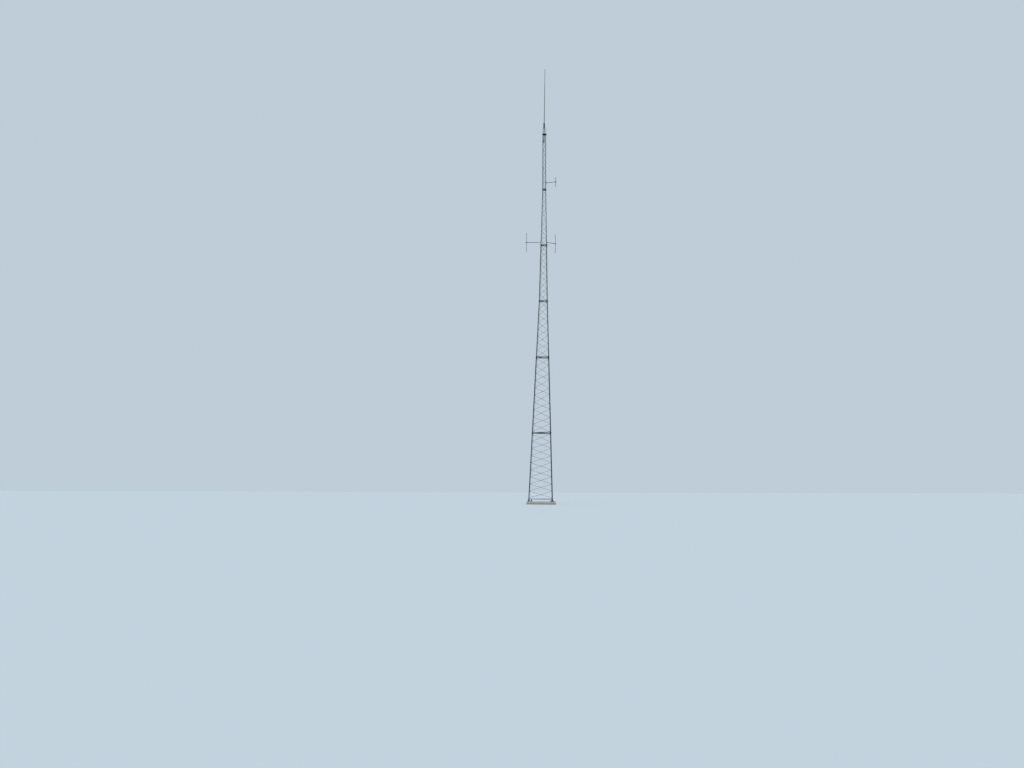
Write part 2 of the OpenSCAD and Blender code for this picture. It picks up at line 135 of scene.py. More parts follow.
def even_sky():
    """Lights the mast with one even tone, and shows the pale tone to the camera and in gloss."""
    world = bpy.data.worlds.new("sky")
    bpy.context.scene.world = world
    world.use_nodes = True
    tree = world.node_tree
    light = tree.nodes["Background"]
    light.inputs["Color"].default_value = SKY_LIGHT
    light.inputs["Strength"].default_value = SKY_STRENGTH
    shown = step(tree, "Background", {"Color": PALE})
    path = step(tree, "LightPath", {})
    seen = path.outputs["Is Camera Ray"]
    for ray in ("Is Glossy Ray", "Is Transmission Ray"):
        seen = calc(tree, "MAXIMUM", seen, path.outputs[ray])
    mix = step(tree, "MixShader", {0: seen, 1: light.outputs[0], 2: shown.outputs[0]})
    feed(tree, tree.nodes["World Output"].inputs["Surface"], mix.outputs[0])


pale_floor()
broad_lamp("key_lamp", strength=1.5, spread=40, height=50, turn=-35)
broad_lamp("fill_lamp", strength=0.5, spread=60, height=30, turn=60)
even_sky()

# The plinth is one block of concrete, cast in a board form that left its edges chamfered and
# faint board marks on its sides. It weathers from the ground up.
EDGE_CHAMFER = 0.012
LONG_EDGE = 0.05
SHARP_TURN = 0.5
FLAT_TURN = math.radians(1.0)
BOARD_H = 0.05
CEMENT = (0.30, 0.295, 0.27, 1.0)
PALE_CEMENT = (0.43, 0.42, 0.385, 1.0)
RAIN_STAIN = (0.2, 0.2, 0.19, 1.0)
SAND = (0.52, 0.5, 0.46, 1.0)
PEBBLE = (0.2, 0.185, 0.165, 1.0)
PORE = (0.11, 0.108, 0.1, 1.0)
SPLASHED_SOIL = (0.12, 0.1, 0.07, 1.0)
SPLASH_H = 0.09
CONCRETE_RELIEF = 0.0008
JOINED = 1e-5
CRISP = 35


def here(tree):
    return step(tree, "TexCoord", {}).outputs["Object"]


def stretched(tree, where, scale):
    return step(tree, "Mapping", {"Vector": where, "Scale": scale}).outputs["Vector"]


def noise(tree, where, scale, detail=4.0):
    return step(tree, "TexNoise", {"Vector": where, "Scale": scale, "Detail": detail}).outputs["Fac"]


def ranged(tree, value, low, high, to_low=0.0, to_high=1.0):
    feeds = {"Value": value, "From Min": low, "From Max": high, "To Min": to_low, "To Max": to_high}
    return step(tree, "MapRange", feeds).outputs["Result"]


def times(tree, a, b):
    return calc(tree, "MULTIPLY", a, b)


def tinted(tree, amount, colour, tint):
    """Colour where amount is 0, and tint where it is 1.

    The Mix node's sockets go by number, because those of all its kinds have the same names."""
    feeds = {0: amount, 6: colour, 7: tint}
    return step(tree, "Mix", feeds, data_type="RGBA").outputs[2]


def effect(name, takes, gives):
    """A new shader group with number sockets: its tree, its inner inputs and its inner outputs."""
    group = bpy.data.node_groups.new(name, "ShaderNodeTree")
    for label, value in takes.items():
        socket = group.interface.new_socket(label, in_out="INPUT", socket_type="NodeSocketFloat")
        socket.default_value = value
    for label in gives:
        group.interface.new_socket(label, in_out="OUTPUT", socket_type="NodeSocketFloat")
    return group, group.nodes.new("NodeGroupInput").outputs, group.nodes.new("NodeGroupOutput").inputs


def placed(tree, group, feeds):
    """Places a shader group in a material with its own values, and returns its outputs."""
    node = tree.nodes.new("ShaderNodeGroup")
    node.node_tree = group
    for socket, value in feeds.items():
        feed(tree, node.inputs[socket], value)
    return node.outputs


def weathering_effect():
    """Soft patches, marks drawn out downwards by rain, and a fine tooth."""
    takes = {"Patch Scale": 5.0, "Streak Scale": 40.0, "Grain Scale": 700.0}
    group, given, out = effect("weathering", takes, ("Patches", "Streaks", "Grain"))
    where = here(group)
    patches = noise(group, where, given["Patch Scale"], 6.0)
    feed(group, out["Patches"], ranged(group, patches, 0.3, 0.7))
    streaks = noise(group, stretched(group, where, (1.0, 1.0, 0.04)), given["Streak Scale"], 4.0)
    feed(group, out["Streaks"], ranged(group, streaks, 0.4, 0.7))
    feed(group, out["Grain"], noise(group, where, given["Grain Scale"], 2.0))
    return group


def splash_effect():
    """How much soil has splashed up from the ground, fading out raggedly at about a height."""
    group, given, out = effect("splash", {"Height": 0.3}, ("Soil",))
    where = here(group)
    up = step(group, "SeparateXYZ", {0: where}).outputs["Z"]
    share = calc(group, "DIVIDE", up, given["Height"])
    high = calc(group, "ADD", share, noise(group, where, 30.0, 5.0))
    feed(group, out["Soil"], ranged(group, high, 1.4, 0.5))
    return group


weathering = weathering_effect()
splash = splash_effect()


def dress(tree, shader, colour, roughness, height, depth):
    """Feeds a shader its colour and roughness, and a bump that is depth metres deep."""
    feed(tree, shader.inputs["Base Color"], colour)
    feed(tree, shader.inputs["Roughness"], roughness)
    bump = step(tree, "Bump", {"Height": height, "Distance": depth, "Strength": 1.0})
    feed(tree, shader.inputs["Normal"], bump.outputs["Normal"])


def cast_concrete():
    material, tree, shader = surface("cast_concrete")
    marks = placed(tree, weathering, {"Patch Scale": 4.0, "Streak Scale": 26.0, "Grain Scale": 420.0})
    soil = placed(tree, splash, {"Height": SPLASH_H})["Soil"]
    where = here(tree)
    drift = ranged(tree, noise(tree, where, 9.0, 3.0), 0.42, 0.66)
    pores = step(tree, "TexVoronoi", {"Vector": where, "Scale": 130.0}).outputs["Distance"]
    uneven = times(tree, drift, noise(tree, where, 75.0, 2.0))
    pits = ranged(tree, calc(tree, "SUBTRACT", pores, times(tree, uneven, 0.3)), 0.05, -0.01)
    boards = step(tree, "TexWave", {"Vector": where, "Scale": 0.5 / BOARD_H, "Distortion": 1.5},
                  bands_direction="Z")
    seams = ranged(tree, boards.outputs["Fac"], 0.1, 0.0)
    colour = tinted(tree, marks["Patches"], CEMENT, PALE_CEMENT)
    colour = tinted(tree, times(tree, marks["Streaks"], 0.45), colour, RAIN_STAIN)
    sand = ranged(tree, marks["Grain"], 0.35, 0.7)
    colour = tinted(tree, times(tree, sand, 0.35), colour, SAND)
    stone = ranged(tree, noise(tree, where, 240.0, 2.0), 0.62, 0.68)
    colour = tinted(tree, times(tree, stone, 0.4), colour, PEBBLE)
    colour = tinted(tree, times(tree, pits, 0.6), colour, PORE)
    colour = tinted(tree, times(tree, soil, 0.75), colour, SPLASHED_SOIL)
    rough = ranged(tree, marks["Grain"], 0.3, 0.7, 0.8, 0.95)
    height = calc(tree, "SUBTRACT", marks["Grain"], calc(tree, "ADD", pits, seams))
    dress(tree, shader, colour, rough, height, CONCRETE_RELIEF)
    return material


def joined_copy(node):
    """A node's loose triangles joined into one skin."""
    bm = bmesh.new()
    bm.from_mesh(nodes[node].data)
    bmesh.ops.remove_doubles(bm, verts=bm.verts, dist=JOINED)
    bm.verts.index_update()
    return bm


def piece_of(bm, name, material, stands_for=(), crisp=CRISP):
    """Ends a bmesh as a piece of the mast, smooth but for its edges of more than crisp degrees."""
    bmesh.ops.recalc_face_normals(bm, faces=bm.faces)
    mesh = bpy.data.meshes.new(name)
    bm.to_mesh(mesh)
    bm.free()
    mesh.shade_smooth()
    mesh.set_sharp_from_angle(angle=math.radians(crisp))
    mesh.materials.append(material)
    piece = bpy.data.objects.new(name, mesh)
    bpy.context.scene.collection.objects.link(piece)
    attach(piece, "root")
    if stands_for:
        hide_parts(*stands_for)
    return piece


def eased(bm, edges, width, segments=2):
    """Rounds edges by width, or chamfers them where there is one segment."""
    bmesh.ops.bevel(bm, geom=edges, offset=width, offset_type="OFFSET", segments=segments,
                    profile=0.5, affect="EDGES", material=-1)


def is_arris(edge):
    """A long outer corner of the plinth that stands clear of the ground."""
    clear = max(vert.co.z for vert in edge.verts) > EDGE_CHAMFER
    return clear and edge.calc_length() > LONG_EDGE and edge.calc_face_angle(0.0) > SHARP_TURN


plinth = joined_copy("plinth")
bmesh.ops.dissolve_limit(plinth, angle_limit=FLAT_TURN, verts=plinth.verts, edges=plinth.edges)
eased(plinth, [edge for edge in plinth.edges if is_arris(edge)], EDGE_CHAMFER, segments=1)
piece_of(plinth, "plinth_block", cast_concrete(), ["plinth"]).data.shade_flat()

# Each leg stands on a square plate with a ribbed stub, welded up and dipped in zinc. Four threaded
# anchors come up through it out of the concrete, each with a washer, a nut and a lock nut.
LEG_TURNS = (180.0, -60.0, 60.0)
TAPER = ((0.25, 1.420), (10.75, 0.485), (16.75, 0.190), (19.75, 0.172))
PLATE_W = 0.160
PLATE_T = 0.014
STUB_D = 0.052
RIB_T = 0.008
RIB_H = 0.062
ANCHOR_CIRCLE = 0.164
ANCHOR_D = 0.012
ANCHOR_PITCH = 0.0015
ANCHOR_NUT = 0.018
ANCHOR_NUT_H = 0.010
LOCK_NUT_H = 0.006
LOCK_NUT_GAP = 0.0003
LOCK_NUT_TURN = 17
ANCHOR_WASHER = 0.024
ANCHOR_WASHER_T = 0.0025
ANCHOR_STAND = 0.030
ANCHOR_IN = 0.09
ANCHOR_TURN = 45
HEX_RIM = 0.06
RIM_SLOPE = 1.4
THREAD_DEPTH = 0.6
FOOT_BEAD = 0.0035
RIB_BEAD_SHORT = 0.004
RIB_BEAD_LOW = 0.002
BEAD_SUNK = 0.001
BEAD_CROWN = 0.55
BEAD_CRISP = 60
FOOT_EASE = 0.0012
EASED_TURN = math.radians(40)
WORN_WIDTH = 0.0016
SOILED_TO = 0.35
OLD_RUST = (0.05, 0.018, 0.008, 1.0)
NEW_RUST = (0.13, 0.052, 0.017, 1.0)
DRIED_SOIL = (0.1, 0.085, 0.06, 1.0)
ZINC_RELIEF = 0.0002
QUARTERS = (0, 90, 180, 270)
HERE = Matrix.Identity(4)


def spangle_effect():
    """The crystals of a zinc coat: an even tone for each, and its thin edge."""
    group, given, out = effect("spangle", {"Scale": 110.0}, ("Crystal", "Edge"))
    where = here(group)
    warp = step(group, "TexNoise", {"Vector": where, "Scale": 60.0}).outputs["Color"]
    bent = step(group, "Mix", {0: 0.012, 4: where, 5: warp}, data_type="VECTOR").outputs[1]
    cells = step(group, "TexVoronoi", {"Vector": bent, "Scale": given["Scale"]})
    tone = step(group, "SeparateColor", {0: cells.outputs["Color"]}).outputs[0]
    feed(group, out["Crystal"], tone)
    gaps = step(group, "TexVoronoi", {"Vector": bent, "Scale": given["Scale"]}, feature="DISTANCE_TO_EDGE")
    feed(group, out["Edge"], ranged(group, gaps.outputs["Distance"], 0.06, 0.0))
    return group


def rust_effect():
    """Where rust has broken through, in spots that run down a little."""
    group, given, out = effect("rust", {"Share": 0.1, "Scale": 25.0}, ("Rust",))
    spots = noise(group, stretched(group, here(group), (1.0, 1.0, 0.45)), given["Scale"], 8.0)
    limit = calc(group, "SUBTRACT", 0.78, times(group, given["Share"], 0.5))
    feed(group, out["Rust"], ranged(group, calc(group, "SUBTRACT", spots, limit), 0.0, 0.06))
    return group


spangle = spangle_effect()
rust = rust_effect()


def rubbed_edges(tree, width):
    """Where a sharp corner lies within a width, and the coat has rubbed thin."""
    rounded = step(tree, "Bevel", {"Radius": width}, samples=4).outputs["Normal"]
    real = step(tree, "NewGeometry", {}).outputs["Normal"]
    bent = step(tree, "VectorMath", {0: rounded, 1: real}, operation="DOT_PRODUCT").outputs["Value"]
    return ranged(tree, bent, 0.98, 0.8)


def zinc(name, dark, light, rusted, crystals=0.35):
    """Weathered zinc on steel, from a dark tone to a light one, with a share of it rusted.

    Crystals is how much of the tone comes from the coat's crystals."""
    material, tree, shader = surface(name)
    marks = placed(tree, weathering, {"Patch Scale": 3.5, "Streak Scale": 55.0, "Grain Scale": 900.0})
    mottle = placed(tree, weathering, {"Patch Scale": 38.0, "Streak Scale": 150.0, "Grain Scale": 2400.0})
    coat = placed(tree, spangle, {"Scale": 120.0})
    spots = placed(tree, rust, {"Share": rusted, "Scale": 22.0})["Rust"]
    soil = placed(tree, splash, {"Height": SOILED_TO})["Soil"]
    worn = rubbed_edges(tree, WORN_WIDTH)
    clouds = calc(tree, "ADD", times(tree, marks["Patches"], 0.45), times(tree, mottle["Patches"], 0.55))
    crystal_part = times(tree, coat["Crystal"], crystals)
    tone = calc(tree, "ADD", crystal_part, times(tree, clouds, 1.0 - crystals))
    shade = tuple(0.4 * tint for tint in dark)
    chalk = tuple(0.06 + 1.5 * tint for tint in light)
    colour = tinted(tree, ranged(tree, tone, 0.15, 0.85), (*dark, 1.0), (*light, 1.0))
    colour = tinted(tree, times(tree, marks["Streaks"], 0.6), colour, (*shade, 1.0))
    runs = times(tree, mottle["Streaks"], ranged(tree, marks["Patches"], 0.5, 1.0))
    colour = tinted(tree, times(tree, runs, 0.3), colour, (*chalk, 1.0))
    colour = tinted(tree, times(tree, worn, 0.45), colour, (*chalk, 1.0))
    bleed = times(tree, spots, ranged(tree, mottle["Grain"], 0.3, 0.7, 0.6, 0.95))
    brown = tinted(tree, mottle["Patches"], OLD_RUST, NEW_RUST)
    colour = tinted(tree, bleed, colour, brown)
    colour = tinted(tree, times(tree, soil, 0.6), colour, DRIED_SOIL)
    dull = calc(tree, "MAXIMUM", spots, soil)
    gloss = ranged(tree, coat["Crystal"], 0.0, 1.0, 0.72, 0.5)
    rough = calc(tree, "MAXIMUM", gloss, times(tree, dull, 0.85))
    height = calc(tree, "ADD", marks["Grain"], times(tree, spots, 1.5))
    height = calc(tree, "SUBTRACT", height, times(tree, coat["Edge"], 0.4))
    dress(tree, shader, colour, rough, height, ZINC_RELIEF)
    clean = calc(tree, "SUBTRACT", 1.0, dull)
    feed(tree, shader.inputs["Metallic"], times(tree, clean, 0.3))
    shader.inputs["Specular IOR Level"].default_value = 0.4
    return material


foot_zinc = zinc("foot_zinc", dark=(0.030, 0.038, 0.046), light=(0.105, 0.118, 0.130), rusted=0.3)
bolt_zinc = zinc("bolt_zinc", dark=(0.060, 0.067, 0.074), light=(0.170, 0.182, 0.192), rusted=0.35,
                 crystals=0.1)
weld_zinc = zinc("weld_zinc", dark=(0.018, 0.024, 0.030), light=(0.070, 0.080, 0.090), rusted=0.45,
                 crystals=0.0)


def softened(node, material, width):
    """Gives a node its material, joins its triangles and rounds its edges by width."""
    piece = nodes[node]
    piece.data.shade_smooth()
    piece.data.materials.clear()
    piece.data.materials.append(material)
    weld = piece.modifiers.new("joined", "WELD")
    weld.merge_threshold = JOINED
    if width:
        bevel = piece.modifiers.new("eased", "BEVEL")
        bevel.width = width
        bevel.segments = 2
        bevel.limit_method = "ANGLE"
        bevel.angle_limit = EASED_TURN
    split = piece.modifiers.new("crisp", "EDGE_SPLIT")
    split.split_angle = math.radians(CRISP)
    normals = piece.modifiers.new("even", "WEIGHTED_NORMAL")
    normals.keep_sharp = True


def face_at(z):
    """Distance between leg centres at a height."""
    for (low, wide), (high, narrow) in zip(TAPER, TAPER[1:]):
        if z <= high:
            return wide + (narrow - wide) * (z - low) / (high - low)
    return TAPER[-1][1]


def turned(turn, axis="Z"):
    """A turn in degrees about an axis."""
    return Matrix.Rotation(math.radians(turn), 4, axis)


def at(x, y, z):
    return Matrix.Translation((x, y, z))


def leg_place(turn, z):
    """The place of a leg's middle at a height, with its X outwards."""
    return turned(turn) @ at(face_at(z) / math.sqrt(3), 0, z)


def hexagon(bm, place, across, height):
    """A nut or a bolt's head that stands on place, with the rim of its top chamfered."""
    rim = HEX_RIM * across
    body = height - rim
    corner = across / math.sqrt(3)
    made = bmesh.ops.create_cone(bm, cap_ends=True, segments=6, radius1=corner, radius2=corner,
                                 depth=body, matrix=place @ at(0, 0, body / 2))
    faces = {face for vert in made["verts"] for face in vert.link_faces}
    tip = place @ Vector((0, 0, height))
    top = min(faces, key=lambda face: (face.calc_center_median() - tip).length)
    bmesh.ops.inset_region(bm, faces=[top], thickness=RIM_SLOPE * rim, depth=rim)


def disc(bm, place, d, height, segments=16):
    """A washer or another flat round piece that stands on place."""
    bmesh.ops.create_cone(bm, cap_ends=True, segments=segments, radius1=d / 2, radius2=d / 2,
                          depth=height, matrix=place @ at(0, 0, height / 2))


def add_part(bm, part, place):
    """Moves a finished part to its place in a piece."""
    part.transform(place)
    mesh = bpy.data.meshes.new("part")
    part.to_mesh(mesh)
    part.free()
    bm.from_mesh(mesh)
    bpy.data.meshes.remove(mesh)


def spun(bm, place, outline, segments=16):
    """Turns an outline of [radius, height] points round the Z of place."""
    part = bmesh.new()
    verts = [part.verts.new((r, 0, z)) for r, z in outline]
    edges = [part.edges.new(pair) for pair in zip(verts, verts[1:])]
    bmesh.ops.spin(part, geom=verts + edges, cent=(0, 0, 0), axis=(0, 0, 1), angle=math.tau,
                   steps=segments, use_merge=True, use_duplicate=False)
    bmesh.ops.remove_doubles(part, verts=part.verts, dist=JOINED)
    add_part(bm, part, place)


def weld_ring(bm, place, radius, bead, segments=20):
    """A fillet of weld round a tube that stands on place, with its inner side sunk in the tube."""
    sunk = radius - BEAD_SUNK
    crown = BEAD_CROWN * bead
    spun(bm, place, [(sunk, 0.0), (radius + bead, 0.0), (radius + crown, crown), (radius, bead),
                     (sunk, bead), (sunk, 0.0)], segments)


def weld_line(bm, start, end, bead):
    """A straight bead of weld with blunt, tapering ends."""
    run = end - start
    made = bmesh.ops.create_uvsphere(bm, u_segments=6, v_segments=5, radius=1.0)
    for vert in made["verts"]:
        vert.co.z = math.copysign(math.sqrt(abs(vert.co.z)), vert.co.z)
    place = Matrix.Translation((start + end) / 2) @ run.to_track_quat("Z", "Y").to_matrix().to_4x4()
    sized = place @ Matrix.Diagonal((bead, bead, run.length / 2, 1.0))
    bmesh.ops.transform(bm, matrix=sized, verts=made["verts"])


def thread(d, pitch, low, high):
    """Outline of a thread between two heights, as [radius, height] points."""
    root = d / 2 - THREAD_DEPTH * pitch
    points = []
    for k in range(int((high - low) / pitch)):
        points += [(root, low + (k + 0.25) * pitch), (d / 2, low + (k + 0.75) * pitch)]
    return points + [(root, high - 0.3 * pitch), (0.8 * root, high), (0.0, high)]


def anchor_part():
    """One anchor from its end in the concrete to its tip, measured from the plate's top."""
    bm = bmesh.new()
    shank = [(0.0, -ANCHOR_IN), (ANCHOR_D / 2, -ANCHOR_IN), (ANCHOR_D / 2, 0.0)]
    spun(bm, HERE, shank + thread(ANCHOR_D, ANCHOR_PITCH, 0.0, ANCHOR_STAND), segments=14)
    disc(bm, HERE, ANCHOR_WASHER, ANCHOR_WASHER_T, segments=20)
    hexagon(bm, at(0, 0, ANCHOR_WASHER_T), ANCHOR_NUT, ANCHOR_NUT_H)
    lock_nut = at(0, 0, ANCHOR_WASHER_T + ANCHOR_NUT_H + LOCK_NUT_GAP) @ turned(LOCK_NUT_TURN)
    hexagon(bm, lock_nut, ANCHOR_NUT, LOCK_NUT_H)
    return bm


softened("foot_plates", foot_zinc, FOOT_EASE)
plate_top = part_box("plinth")[1].z + PLATE_T
feet = [turned(turn) @ at(TAPER[0][1] / math.sqrt(3), 0, plate_top) for turn in LEG_TURNS]
anchor = anchor_part()
anchors = bmesh.new()
for foot in feet:
    for quarter in QUARTERS:
        hole = foot @ turned(ANCHOR_TURN + quarter) @ at(ANCHOR_CIRCLE / 2, 0, 0)
        add_part(anchors, anchor.copy(), hole)
piece_of(anchors, "anchors", bolt_zinc)

foot_welds = bmesh.new()
for foot in feet:
    weld_ring(foot_welds, foot, STUB_D / 2, FOOT_BEAD)
    for rib in QUARTERS:
        for edge in (-RIB_T / 2, RIB_T / 2):
            foot_rib = foot @ turned(rib)
            inner = foot_rib @ Vector((STUB_D / 2, edge, 0.0))
            outer = foot_rib @ Vector((PLATE_W / 2 - RIB_BEAD_SHORT, edge, 0.0))
            upper = foot_rib @ Vector((STUB_D / 2, edge, RIB_H - RIB_BEAD_LOW))
            weld_line(foot_welds, inner, outer, FOOT_BEAD)
            weld_line(foot_welds, inner, upper, FOOT_BEAD)
piece_of(foot_welds, "foot_welds", weld_zinc, crisp=BEAD_CRISP)

# Six bolted sections of three steel tubes make the legs. Each tube is welded between two flanges
# and dipped in zinc, whose weathered tones are painted near black as painted shade of a mast lit
# from behind, and four bolts hold each pair of flanges.
SECTIONS = 6
LEG_D = (0.052, 0.052, 0.046, 0.046, 0.034, 0.034)
FLANGE_T = 0.008
FLANGE_LIP = 0.020
HEAD_T = 0.012
BOLT_D = 0.008
BOLT_HEX = 0.012
BOLT_HEAD = 0.005
BOLT_NUT = 0.0065
BOLT_WASHER = 0.015
WASHER_T = 0.0015
BOLT_PAST = 0.004
BOLT_PITCH = 0.001
BOLT_TURN = 37
LEG_BEAD = 0.0024
LEG_EASE = 0.0008
UPSIDE_DOWN = turned(180, "X")

levels = [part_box("legs_1")[0].z] + [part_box(f"legs_{k}")[1].z for k in range(1, SECTIONS + 1)]
# The legs' zinc is painted far darker than weathered zinc: painted shade of a mast lit from behind.
leg_zinc_painted_shade = zinc("leg_zinc_painted_shade", dark=(0.008, 0.014, 0.022), light=(0.058, 0.078, 0.100), rusted=0.12)


def bolt_part(grip):
    """A bolt with its nut, from the head's side of what it grips, down through it."""
    bm = bmesh.new()
    disc(bm, HERE, BOLT_WASHER, WASHER_T)
    hexagon(bm, at(0, 0, WASHER_T), BOLT_HEX, BOLT_HEAD)
    below = at(0, 0, -grip) @ UPSIDE_DOWN
    disc(bm, below, BOLT_WASHER, WASHER_T)
    hexagon(bm, below @ at(0, 0, WASHER_T), BOLT_HEX, BOLT_NUT)
    end = WASHER_T + BOLT_NUT + BOLT_PAST
    shank = [(0.0, -grip / 2), (BOLT_D / 2, -grip / 2), (BOLT_D / 2, WASHER_T)]
    spun(bm, below, shank + thread(BOLT_D, BOLT_PITCH, end - BOLT_PAST, end), segments=12)
    return bm


flange_bolt = bolt_part(2 * FLANGE_T)
head_bolt = bolt_part(FLANGE_T + HEAD_T)
flange_bolts = bmesh.new()
leg_welds = bmesh.new()
for k, level in enumerate(levels):
    joint_d = LEG_D[max(k - 1, 0)]
    bolt_out = (joint_d + FLANGE_LIP) / 2
    at_head = k == SECTIONS
    for turn in LEG_TURNS:
        joint = leg_place(turn, level)
        for hole in QUARTERS:
            spot = joint @ turned(hole) @ at(bolt_out, 0, HEAD_T if at_head else FLANGE_T)
            bolt = head_bolt if at_head else flange_bolt
            add_part(flange_bolts, bolt.copy(), spot @ turned(BOLT_TURN * k + hole / 3))
        if not at_head:
            weld_ring(leg_welds, joint @ at(0, 0, FLANGE_T), LEG_D[k] / 2, LEG_BEAD)
        if k > 0:
            weld_ring(leg_welds, joint @ at(0, 0, -FLANGE_T) @ UPSIDE_DOWN, LEG_D[k - 1] / 2, LEG_BEAD)
for k in range(1, SECTIONS + 1):
    softened(f"legs_{k}", leg_zinc_painted_shade, LEG_EASE)
piece_of(flange_bolts, "flange_bolts", bolt_zinc)
piece_of(leg_welds, "leg_welds", weld_zinc, crisp=BEAD_CRISP)

# Each flat side of a section is laced with one round bar, bent to and fro between its legs and
# welded to them at every bend. A flat bar ties the legs beside each joint.
SIDES = {"front": -120.0, "right": 0.0, "back": 120.0}
BARS = (9, 10, 8, 9, 12, 12)
BAR_D = (0.012, 0.012, 0.012, 0.012, 0.010, 0.010)
LACE_UP = (0.075, 0.075, 0.034, 0.034, 0.034, 0.034)
RING_H = 0.026
RING_T = 0.006
RING_UP = 0.027
RING_EASE = 0.001
RING_SUNK = 0.0012
RING_BEAD = 0.0022
RING_BEAD_OUT = 0.0004
RING_BEAD_IN = 0.0006
RING_BEAD_PAST = 0.001
BEND_RADIUS = 1.7
LACE_BEAD = 0.24
LACE_BEAD_REACH = 1.3
LACE_BEAD_FRONT = 0.7
LACE_BEAD_SIDE = 0.42
ROD_CRISP = 50
UP = Vector((0, 0, 1))

# The lacing bars' zinc is painted far darker than weathered zinc: painted shade of a mast lit from behind.
bar_zinc_painted_shade = zinc("bar_zinc_painted_shade", dark=(0.009, 0.015, 0.023), light=(0.062, 0.082, 0.104), rusted=0.2)


def left_of(way):
    """The direction to the left of a way in the plane of Y and Z, seen from the front."""
    return Vector((0, -way.z, way.y))


def heading(way):
    """The angle of a way in that plane."""
    return math.atan2(way.z, way.y)


def crossing(start, end, hand, radius):
    """Way of a rod that leaves a bend of one hand and meets an equal bend of the other."""
    run = end - start
    return Matrix.Rotation(hand * math.asin(2 * radius / run.length), 3, "X") @ run.normalized()


def far_edges(made):
    """The edges of the newest ring in what an extrusion or a spin has made."""
    verts = {item for item in made if isinstance(item, bmesh.types.BMVert)}
    edges = [item for item in made if isinstance(item, bmesh.types.BMEdge)]
    return [edge for edge in edges if set(edge.verts) <= verts]


def drawn_out(part, edges, way):
    """Draws a ring of edges out along a way, and returns the new ring."""
    made = bmesh.ops.extrude_edge_only(part, edges=edges)["geom"]
    verts = [item for item in made if isinstance(item, bmesh.types.BMVert)]
    bmesh.ops.translate(part, vec=way, verts=verts)
    return far_edges(made)


def bent_rod(bm, place, d, radius, bends, ways, ends, sides=10, turn_step=22):
    """A round rod in the plane of Y and Z of place, round bends of [centre, hand], with ends.

    Hand is 1 for a bend to the left and -1 to the right. There is one way more than bends."""
    part = bmesh.new()
    tangents = [(centre - hand * radius * left_of(ways[k]), centre - hand * radius * left_of(ways[k + 1]))
                for k, (centre, hand) in enumerate(bends)]
    start = tangents[0][0] - ends[0] * ways[0]
    lie = Matrix.Translation(start) @ Matrix.Rotation(heading(ways[0]) - math.pi / 2, 4, "X")
    ring = bmesh.ops.create_circle(part, segments=sides, radius=d / 2, matrix=lie)["verts"]
    edges = list({edge for vert in ring for edge in vert.link_edges})
    rings = [edges]
    here_now = start
    for k, (centre, hand) in enumerate(bends):
        edges = drawn_out(part, edges, tangents[k][0] - here_now)
        sweep = (hand * (heading(ways[k + 1]) - heading(ways[k]))) % math.tau
        steps = max(2, round(math.degrees(sweep) / turn_step))
        spin = bmesh.ops.spin(part, geom=edges, cent=centre, axis=(hand, 0, 0), angle=sweep, steps=steps,
                              use_merge=False, use_duplicate=False)
        edges = far_edges(spin["geom_last"])
        here_now = tangents[k][1]
    rings.append(drawn_out(part, edges, ends[1] * ways[-1]))
    for end_edges in rings:
        bmesh.ops.contextual_create(part, geom=end_edges)
    add_part(bm, part, place)


def side_out(z):
    """Distance from the mast's middle to its flat sides at a height."""
    return face_at(z) / math.sqrt(12)


def slope_of(low, high):
    """Length of a flat side between two heights, along its slope."""
    return math.hypot(side_out(low) - side_out(high), high - low)


def side_place(section, turn):
    """The place of a flat side of a section, with X outwards, Y across and Z up its slope."""
    low, high = levels[section], levels[section + 1]
    lean = math.atan2(side_out(low) - side_out(high), high - low)
    return turned(turn) @ at(side_out(low), 0, low) @ Matrix.Rotation(-lean, 4, "Y")


def lace_side(section, turn, rods, welds):
    """Adds the bars of one side of a section, and their welds."""
    low, high = levels[section], levels[section + 1]
    wide, narrow = face_at(low), face_at(high)
    slope = slope_of(low, high)
    place = side_place(section, turn)
    leg_r, d, up, count = LEG_D[section] / 2, BAR_D[section], LACE_UP[section], BARS[section]
    rise = (slope - 2 * up) / count
    bend = BEND_RADIUS * d

    def half(v):
        return (wide + (narrow - wide) * v / slope) / 2

    def beside_leg(v, off):
        return half(v) - leg_r - off

    taper = Vector((0, narrow - wide, 2 * slope)).normalized()
    bends = []
    for k in range(count + 1):
        hand = 1 if k % 2 else -1
        v = up + k * rise
        bends.append((Vector((0, hand * beside_leg(v, d / 2 + bend), v)), hand))
    ways = [Vector((0, bends[0][1] * taper.y, taper.z))]
    for (start, hand), (end, _) in zip(bends, bends[1:]):
        ways.append(crossing(start, end, hand, bend))
    ways.append(Vector((0, bends[-1][1] * taper.y, taper.z)))
    bent_rod(rods, place, d, bend, bends, ways, (up - RING_UP, up - RING_UP))

    for centre, hand in bends:
        for front in (-LACE_BEAD_FRONT, LACE_BEAD_FRONT):
            touch = Vector((front * d / 2, centre.y + hand * (bend + LACE_BEAD_SIDE * d), centre.z))
            along = Vector((0, hand * taper.y, taper.z)) * LACE_BEAD_REACH * d
            weld_line(welds, place @ (touch - along), place @ (touch + along), LACE_BEAD * d)

    for v in (RING_UP, slope - RING_UP):
        reach = beside_leg(v, -RING_SUNK)
        flat = bmesh.new()
        bmesh.ops.create_cube(flat, size=1.0)
        bmesh.ops.scale(flat, vec=(RING_T, 2 * reach, RING_H), verts=flat.verts)
        eased(flat, [edge for edge in flat.edges if edge.calc_length() > reach], RING_EASE)
        add_part(rods, flat, place @ at(0, 0, v))
        for hand in (-1, 1):
            for front in (-1, 1):
                front_x = front * (RING_T / 2 + RING_BEAD_OUT)
                spot = Vector((front_x, hand * beside_leg(v, RING_BEAD_IN), v))
                along = Vector((0, 0, RING_H / 2 + RING_BEAD_PAST))
                weld_line(welds, place @ (spot - along), place @ (spot + along), RING_BEAD)


